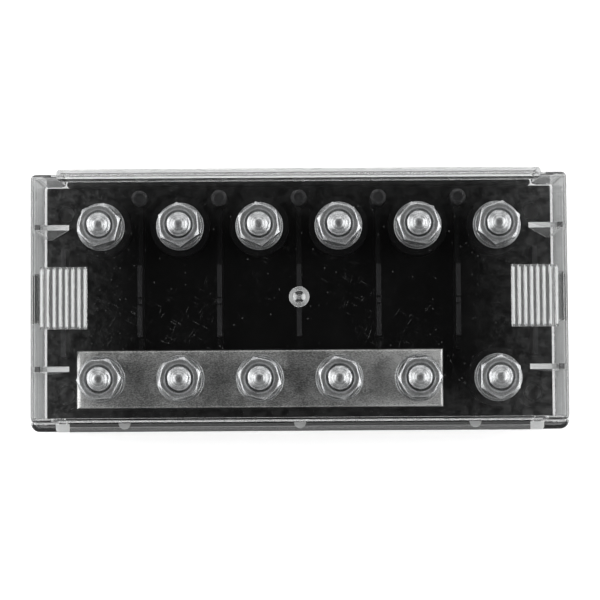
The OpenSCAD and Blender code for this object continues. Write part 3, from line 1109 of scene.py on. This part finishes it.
def split_ring(section, slit, slant, steps):
    """Sweep a section round a circle from one slanting end face to the other."""
    points, faces = [], []
    mid_z = (section[0][1] + section[-1][1]) / 2
    count = len(section)
    for i in range(steps + 1):
        for r, z in section:
            lean = (z - mid_z) * slant
            start = math.pi / 2 + (slit / 2 + lean) / r
            end = math.pi / 2 + math.tau - (slit / 2 - lean) / r
            angle = start + (end - start) * i / steps
            points.append((r * math.cos(angle), r * math.sin(angle), z))
    for i in range(steps):
        for k in range(count):
            n = (k + 1) % count
            faces.append((i * count + k, i * count + n, (i + 1) * count + n, (i + 1) * count + k))
    faces.append(tuple(range(count)))
    faces.append(tuple(steps * count + k for k in reversed(range(count))))
    return points, faces


spring_low, spring_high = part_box("feed_spring_washers")
section = rounded_section(SPRING_HOLE_R, SPRING_R, spring_low.z, spring_high.z, SPRING_EDGE)
spring = mesh_of("spring", *split_ring(section, SLIT, SLANT, SPRING_STEPS))
for row in rows:
    springs = stud_row(f"{row}_spring_row", row, spring)
    soft_shade(springs.data, WASHER_CREASE)
    hand_over(springs, "holder", "zinc_steel", f"{row}_spring_washers")

# %% [markdown]
# ## Nuts
# A hex nut is turned with a cone at either end, and where the cone meets the flats it leaves six curved
# edges. A boolean of a cone and a prism would do, but the rings follow those curves exactly. Each nut turns
# on its own body, so each is a piece, turned to the angle at which it was tightened.

# %% Rounded edges


def flat_faces(piece, keep_sharp):
    """Let large faces keep flat shading, so that only the small ones beside them bend it."""
    flat = piece.modifiers.new("flat_faces", "WEIGHTED_NORMAL")
    flat.mode = "FACE_AREA"
    flat.weight = 100
    flat.keep_sharp = keep_sharp
    settle(piece)


def rounded_edges(piece, width, degrees):
    """Round the edges that are sharper than an angle, so that they catch light as real edges do."""
    bevel = piece.modifiers.new("rounding", "BEVEL")
    bevel.width = width
    bevel.segments = 2
    bevel.limit_method = "ANGLE"
    bevel.angle_limit = math.radians(degrees)
    bevel.use_clamp_overlap = True
    bevel.miter_outer = "MITER_ARC"
    piece.data.shade_smooth()
    flat_faces(piece, False)


print("edge helpers ready")

# %% Nuts
NUT_FLATS = 13.0 * MM
FACE_R = 0.487 * NUT_FLATS
NUT_EDGE = 0.4 * MM
NUT_ROUND = 0.1 * MM
NUT_CREASE = 20
BORE_R = 4.05 * MM
COUNTERSINK = 0.75 * MM
# degrees by which each nut is turned, from left to right
NUT_TURNS = {"feed": (3, 17, 46, 44, 2, 29), "load": (16, 35, 38, 47, 49, 20)}

rings = hex_rings(NUT_FLATS, NUT_LOW, NUT_HIGH, FACE_R, FACE_R, NUT_EDGE)
rings.append(round_ring(BORE_R + COUNTERSINK, NUT_HIGH))
rings.append(round_ring(BORE_R, NUT_HIGH - COUNTERSINK))
rings.append(round_ring(BORE_R, NUT_LOW + COUNTERSINK))
rings.append(round_ring(BORE_R + COUNTERSINK, NUT_LOW))
nut = mesh_of("nut", *skin(rings, True))
for row, axes in rows.items():
    for i, axis in enumerate(axes):
        one = piece_of(f"{row}_hex_nut_{i + 1}", nut.copy())
        one.data.materials.append(zinc_steel)
        rounded_edges(one, NUT_ROUND, NUT_CREASE)
        turn = Matrix.Rotation(math.radians(NUT_TURNS[row][i]), 4, "Z")
        one.data.transform(Matrix.Translation((axis.x, axis.y, 0.0)) @ turn)
        hand_over(one, f"{row}_nut_{i + 1}", "zinc_steel", f"{row}_nut_{i + 1}")

# %% [markdown]
# ## Base
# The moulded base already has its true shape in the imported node, so it isn't drawn again. What a plain solid
# lacks is the small radius on every edge. The node is copied, its loose triangles are merged back into
# faces, and a bevel rounds the edges.

# %% Rounded base
BASE_MERGE = 0.01 * MM
BASE_FLAT = 0.6
BASE_ROUND = 0.2 * MM
BASE_CREASE = 40

base_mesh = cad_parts["base"].data.copy()
base_mesh.materials.clear()
work = bmesh.new()
work.from_mesh(base_mesh)
bmesh.ops.remove_doubles(work, verts=work.verts, dist=BASE_MERGE)
bmesh.ops.dissolve_degenerate(work, edges=work.edges, dist=BASE_MERGE)
bmesh.ops.dissolve_limit(
    work,
    angle_limit=math.radians(BASE_FLAT),
    verts=work.verts,
    edges=work.edges,
    delimit={"NORMAL"},
)
work.to_mesh(base_mesh)
work.free()
base = piece_of("moulded_base", base_mesh)
base_mesh.materials.append(black_plastic)
rounded_edges(base, BASE_ROUND, BASE_CREASE)
hand_over(base, "holder", "black_plastic", "base")

# %% [markdown]
# ## Busbar
# The busbar is cut from drawn strip with wide round edges, which mirror the lamps as bright lines, and its
# ends are filed. A bevel this wide would clash with the stud holes, so the bar is a loft of rectangles, and
# the holes are cut out of it afterwards.

# %% Lofts and cuts
ROUND_STEPS = 4


def rounding(radius):
    """Steps of a quarter round as how far in and how far below the end."""
    turns = [math.pi / 2 * i / ROUND_STEPS for i in range(ROUND_STEPS + 1)]
    return [(radius * (1 - math.cos(a)), radius * (1 - math.sin(a))) for a in turns]


def loft(rings):
    """A closed skin over outlines, capped at the first and the last."""
    count = len(rings[0])
    points = [point for ring in rings for point in ring]
    faces = []
    for i in range(len(rings) - 1):
        for k in range(count):
            n = (k + 1) % count
            faces.append((i * count + k, i * count + n, (i + 1) * count + n, (i + 1) * count + k))
    last = (len(rings) - 1) * count
    faces.append(tuple(reversed(range(count))))
    faces.append(tuple(range(last, last + count)))
    return points, faces


def combine(piece, tool, operation):
    """Join or cut one piece with another, which is removed."""
    change = piece.modifiers.new(operation, "BOOLEAN")
    change.operation = operation
    change.solver = "EXACT"
    change.object = tool
    settle(piece)
    bpy.data.objects.remove(tool)


print("steps of a rounding:", ROUND_STEPS)

# %% Busbar
BAR_EDGE = 0.8 * MM
LEFT_STRETCH = 3.2
RIGHT_STRETCH = 1.6
BAR_BAYS = 5
BAR_CREASE = 35
PAST = 1.0 * MM
bar_low, bar_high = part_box("busbar")


def bar_level(z, tuck):
    """The bar's outline at one height, drawn in by the tuck and by more at the filed ends."""
    left, right = bar_low.x + tuck * LEFT_STRETCH, bar_high.x - tuck * RIGHT_STRETCH
    front, back = bar_low.y + tuck, bar_high.y - tuck
    return [(left, front, z), (right, front, z), (right, back, z), (left, back, z)]


levels = [bar_level(bar_low.z + drop, tuck) for tuck, drop in rounding(BAR_EDGE)][::-1]
levels += [bar_level(bar_high.z - drop, tuck) for tuck, drop in rounding(BAR_EDGE)]
busbar = piece_of("tinned_busbar", mesh_of("tinned_busbar", *loft(levels)))
busbar.data.materials.append(tinned_copper)
hole = [(0.0, bar_low.z - PAST), (WASHER_HOLE_R, bar_low.z - PAST)]
hole += [(WASHER_HOLE_R, bar_high.z + PAST), (0.0, bar_high.z + PAST)]
punch = mesh_of("punch", *skin(round_rings(hole), False))
first = (rows["feed"][0].x, rows["feed"][0].y, 0.0)
punches = repeated("bar_punches", punch, BAR_BAYS, BAY_PITCH, first, tinned_copper)
combine(busbar, punches, "DIFFERENCE")
soft_shade(busbar.data, BAR_CREASE)
hand_over(busbar, "holder", "tinned_copper", "busbar")

# %% [markdown]
# ## The shell of the clear cover
# Clear plastic shows every fault of its mesh, so the cover is drawn afresh as a loft and not as a bevelled
# copy. Each level is a closed outline with the same number of points: an end, a corner arc, and a long side
# whose middle may stand out as a bulge.

# %% Cover outlines
ARC = 6
STEP = 0.5 * MM
BULGE_R = 1.2 * MM
BULGE_LEAST_R = 0.6 * MM
skirt = Vector(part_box("cover")[1][:2])
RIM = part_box("cover")[0].z


def arc_points(middle_x, middle_y, radius, first=0):
    turns = [math.pi / 2 * j / ARC for j in range(first, ARC + 1)]
    return [(middle_x + radius * math.cos(a), middle_y + radius * math.sin(a)) for a in turns]


def bulge_side(half_y, inset):
    """Points of the long side from the bulge's end to the middle, where it stands out."""
    end_x, out_y = BULGE_X - inset, skirt.y - inset
    radius = max(BULGE_R - inset, BULGE_LEAST_R)
    points = [(end_x, half_y + STEP)]
    for x, y in arc_points(end_x - radius, out_y - radius, radius, 1):
        points.append((x, max(y, half_y + STEP)))
    return points + [(0.0, out_y)]


def flat_side(inset, y):
    """The same points on a straight side, where no bulge stands out."""
    return [(x, y) for x, _ in bulge_side(skirt.y - inset - STEP, inset)]


def outline(half, corner, side, z):
    """A closed outline at one height, from a quarter that is mirrored three times."""
    quarter = [(half.x, 0.0)] + arc_points(half.x - corner, half.y - corner, corner)
    quarter += [(BULGE_X + STEP, half.y)] + side
    upper = quarter + [(-x, y) for x, y in quarter[-2::-1]]
    lower = [(-x, -y) for x, y in upper[1:-1]]
    return [(x, y, z) for x, y in upper + lower]


print("skirt:", [round(v, 5) for v in skirt], "rim at", round(RIM, 5))

# %% [markdown]
# ## Levels of the cover
# The levels follow the real moulding from the rim up: the skirt, the ledge, the leaning body with its bulges
# and the plate, and then down the inside again. Small radii are levels of their own, because a bevel on clear
# walls this thin would leave uneven facets. One skin joins all levels, down the outside, round the rim and
# up the inside.

# %% Cover levels
WALL = 1.3 * MM
BULGE_WALL = 0.95 * MM
PLATE_R = 1.7 * MM
SKIRT_R = 3.0 * MM
LEAST_R = 0.5 * MM


def body_level(z, inset, out, grow=0.0, tuck=0.0):
    """A level of the leaning body; out says if the bulge stands out there."""
    lean = (z - SKIRT_TOP) / (PLATE_TOP - SKIRT_TOP)
    half = FOOT.lerp(PLATE, lean) - Vector((inset - grow, inset - grow))
    side = bulge_side(half.y, inset + tuck) if out else flat_side(inset, half.y)
    return outline(half, max(PLATE_R - inset + grow, LEAST_R), side, z)


def skirt_level(z, inset, tuck=0.0):
    """A level of the skirt, with its edge tucked in where no bulge stands on it."""
    half = skirt - Vector((inset + tuck, inset + tuck))
    outer = skirt.y - inset
    side = [(x, outer - min(tuck, outer - y)) for x, y in bulge_side(half.y - STEP, inset)]
    return outline(half, max(SKIRT_R - inset - tuck, LEAST_R), side, z)


print("wall:", WALL, "m, bulge wall:", BULGE_WALL, "m")

# %% Shell
RIM_EDGE = 0.2 * MM
LEDGE_ROUND = 0.6 * MM
FOOT_FILLET = 0.3 * MM
BULGE_ROUND = 0.25 * MM
PLATE_ROUND = 0.8 * MM
INNER_ROUND = 0.1 * MM
SKIRT_FILLET = 0.3 * MM
NEXT_LEVEL = 0.02 * MM
thinner = BULGE_WALL - WALL

levels = [skirt_level(RIM, 0.0, RIM_EDGE), skirt_level(RIM + RIM_EDGE, 0.0)]
levels += [skirt_level(SKIRT_TOP - drop, 0.0, tuck) for tuck, drop in rounding(LEDGE_ROUND)]
levels.append(body_level(SKIRT_TOP, 0.0, True, FOOT_FILLET))
levels.append(body_level(SKIRT_TOP + FOOT_FILLET, 0.0, True))
for tuck, drop in rounding(BULGE_ROUND):
    levels.append(body_level(BULGE_TOP - drop, 0.0, True, 0.0, tuck))
levels.append(body_level(BULGE_TOP + NEXT_LEVEL, 0.0, False))
levels += [body_level(PLATE_TOP - drop, tuck, False) for tuck, drop in rounding(PLATE_ROUND)]
inside = [body_level(ROOF - drop, WALL + tuck, False) for tuck, drop in rounding(INNER_ROUND)][::-1]
inside.append(body_level(BULGE_TOP - WALL + NEXT_LEVEL, WALL, False))
for tuck, drop in rounding(INNER_ROUND)[::-1]:
    inside.append(body_level(BULGE_TOP - WALL - drop, WALL, True, 0.0, tuck + thinner))
inside.append(body_level(SKIRT_TOP - WALL, WALL, True, 0.0, thinner))
for tuck, drop in rounding(SKIRT_FILLET)[::-1]:
    inside.append(skirt_level(SKIRT_TOP - WALL - drop, WALL, tuck))
inside.append(skirt_level(RIM, WALL))
shell = mesh_of("shell", *loft(levels[::-1] + inside[::-1]))
print("levels:", len(levels) + len(inside), "points a level:", len(levels[0]))

# %% [markdown]
# ## Ribs, legs, tongues and gate of the cover
# Two grips of eight ribs stand on the plate, with the gate mark, where the plastic was let into the mould,
# between them. Under the plate's ends are four gusset legs and two latch tongues. They could be drawn into
# the shell's own levels, but only with far more points, so they are made apart and joined by a boolean. The
# ribs repeat, so the row tree sets them down.

# %% Ribs of the cover
RIB_R = 0.65 * MM
RIB_PITCH = 1.98 * MM
RIBS = 8
RIB_STEPS = 10
RIB_ROOT = PLATE_TOP - 0.5 * MM
RIB_TAPER = 1.0 * MM
RIB_TIP = 0.3
RIB_FIRST = PLATE.x - 3.0 * MM - RIB_R


def half_turn(steps):
    return [math.pi * i / steps for i in range(steps + 1)]


def rib_outline(y, size):
    """The rib's section at one place along it, made smaller towards its tips."""
    r = RIB_R * size
    crown = [(r * math.cos(a), y, PLATE_TOP + r * math.sin(a)) for a in half_turn(RIB_STEPS)]
    return crown + [(-r, y, RIB_ROOT), (r, y, RIB_ROOT)]


rib_full = GRIP_HALF - RIB_TAPER
rib_places = [(-GRIP_HALF, RIB_TIP), (-rib_full, 1.0), (rib_full, 1.0), (GRIP_HALF, RIB_TIP)]
rib = mesh_of("rib", *loft([rib_outline(y, size) for y, size in rib_places]))
added = [
    repeated("right_ribs", rib, RIBS, -RIB_PITCH, (RIB_FIRST, 0.0, 0.0), clear_plastic),
    repeated("left_ribs", rib, RIBS, RIB_PITCH, (-RIB_FIRST, 0.0, 0.0), clear_plastic),
]
print("ribs:", len(added) * RIBS)

# %% Legs, tongues and gate of the cover
# outlines seen from the front, in millimetres from the middle and up
LEG_OUTLINE = [(73.5, 41.35), (83.6, 3.1), (85.0, 3.1), (85.95, 10.0), (85.35, 41.35)]
TONGUE_OUTLINE = [(79.6, 41.35), (79.6, 11.5), (81.1, 11.5), (81.1, 41.35)]
TONGUE_HALF = 7.0 * MM
GATE_TOP = PLATE_TOP + 0.35 * MM
GATE_ROOT = PLATE_TOP - 1.0 * MM
GATE_ROUND = 0.15 * MM
GATE_CUT = 0.05 * MM


def upright(name, outline, way, low, high):
    """A plate with an outline in X and Z, mirrored if way is -1, from low to high along Y."""
    rings = [[(way * x * MM, y, z * MM) for x, z in outline] for y in (low, high)]
    return piece_of(name, mesh_of(name, *loft(rings)))


for way in (-1, 1):
    added.append(upright("tongue", TONGUE_OUTLINE, way, -TONGUE_HALF, TONGUE_HALF))
    for y in (-LEG_Y, LEG_Y):
        added.append(upright("leg", LEG_OUTLINE, way, y - LEG_HALF, y + LEG_HALF))
gate_section = [(0.0, GATE_ROOT), (GATE_R, GATE_ROOT), (GATE_R, GATE_TOP - GATE_ROUND)]
gate_section += [(GATE_R - GATE_CUT, GATE_TOP - GATE_CUT), (GATE_R - GATE_ROUND, GATE_TOP)]
gate_section.append((0.0, GATE_TOP))
added.append(piece_of("gate", mesh_of("gate", *skin(round_rings(gate_section), False))))
print("parts added to the shell:", len(added))

# %% [markdown]
# ## Arches, ejector marks and dish of the cover
# A scored arch on the long side marks where each cable breaks out, half-round marks on the bulges show where
# ejector pins pushed the moulding out, and the gate mark is dished. Lines could be drawn on by a finish, but
# only a real cut bends what is seen through it. The arches repeat, so the row tree sets them down.

# %% Cuts in the cover
SCORE_HALF = 0.25 * MM
SCORE_R = 9.0 * MM
SCORE_MIDDLE = 18.0 * MM
SCORE_DEPTH = 0.03 * MM
MARK_DEPTH = 0.2 * MM
DISH_DEPTH = 0.4
CUT_STEPS = 24


def arch(radius):
    """One edge of a scored arch: up from the skirt, round and down again."""
    bow = [(radius * math.cos(a), SCORE_MIDDLE + radius * math.sin(a)) for a in half_turn(CUT_STEPS)]
    return [(radius, SKIRT_TOP)] + bow + [(-radius, SKIRT_TOP)]


def score_mesh(low, high):
    """A scored arch between its outer and inner edge, from low to high along Y."""
    rings = []
    for (ox, oz), (ix, iz) in zip(arch(SCORE_R + SCORE_HALF), arch(SCORE_R - SCORE_HALF)):
        rings.append([(ox, low, oz), (ox, high, oz), (ix, high, iz), (ix, low, iz)])
    return mesh_of("score", *loft(rings))


def mark_mesh(middle_x, way):
    """A half disc on top of one bulge, with its round side outwards."""
    disc = [(MARK_R * math.cos(a), MARK_Y + MARK_R * math.sin(a)) for a in half_turn(CUT_STEPS)]
    heights = (BULGE_TOP - MARK_DEPTH, BULGE_TOP + PAST)
    rings = [[(middle_x + x, way * y, z) for x, y in disc] for z in heights]
    return mesh_of("mark", *loft(rings))


cuts = []
for side, way in (("feed", -1), ("load", 1)):
    low, high = sorted((way * (skirt.y - SCORE_DEPTH), way * (skirt.y + PAST)))
    first = (rows[side][0].x, 0.0, 0.0)
    score = score_mesh(low, high)
    cuts.append(repeated(f"{side}_scores", score, BAYS, BAY_PITCH, first, clear_plastic))
    for middle_x in (-MARK_GAP, 0.0, MARK_GAP):
        cuts.append(piece_of("mark", mark_mesh(middle_x, way)))
tilts = [a - math.pi / 2 for a in half_turn(CUT_STEPS)]
dish = [(DISH_R * math.cos(a), GATE_TOP + DISH_DEPTH * DISH_R * math.sin(a)) for a in tilts]
cuts.append(piece_of("dish", mesh_of("dish", *skin(round_rings(dish), False))))
print("cutters:", len(cuts))

# %% [markdown]
# ## One clear cover
# The real cover is one moulding, so the shell and its parts have to become one skin: walls left inside it
# would show as bright sheets. All added parts are joined in one boolean and all cuts follow in another, and
# the open edges are counted, because one hole would spoil the glass.

# %% Join the cover
COVER_MERGE = 0.002 * MM
COVER_CREASE = 35


def gathered(name, pieces):
    """One object from the meshes of several, which are removed."""
    work = bmesh.new()
    for piece in pieces:
        work.from_mesh(piece.data)
        bpy.data.objects.remove(piece)
    mesh = bpy.data.meshes.new(name)
    work.to_mesh(mesh)
    work.free()
    mesh.materials.clear()
    mesh.materials.append(clear_plastic)
    return piece_of(name, mesh)


def open_edges(mesh):
    work = bmesh.new()
    work.from_mesh(mesh)
    count = sum(not edge.is_manifold for edge in work.edges)
    work.free()
    return count


shell.materials.append(clear_plastic)
cover = piece_of("clear_cover", shell)
combine(cover, gathered("added_parts", added), "UNION")
combine(cover, gathered("cut_parts", cuts), "DIFFERENCE")
tidy_mesh(cover.data, COVER_MERGE)
soft_shade(cover.data, COVER_CREASE)
flat_faces(cover, True)
print("open edges:", open_edges(cover.data))
hand_over(cover, "cover", "clear_plastic", "cover")
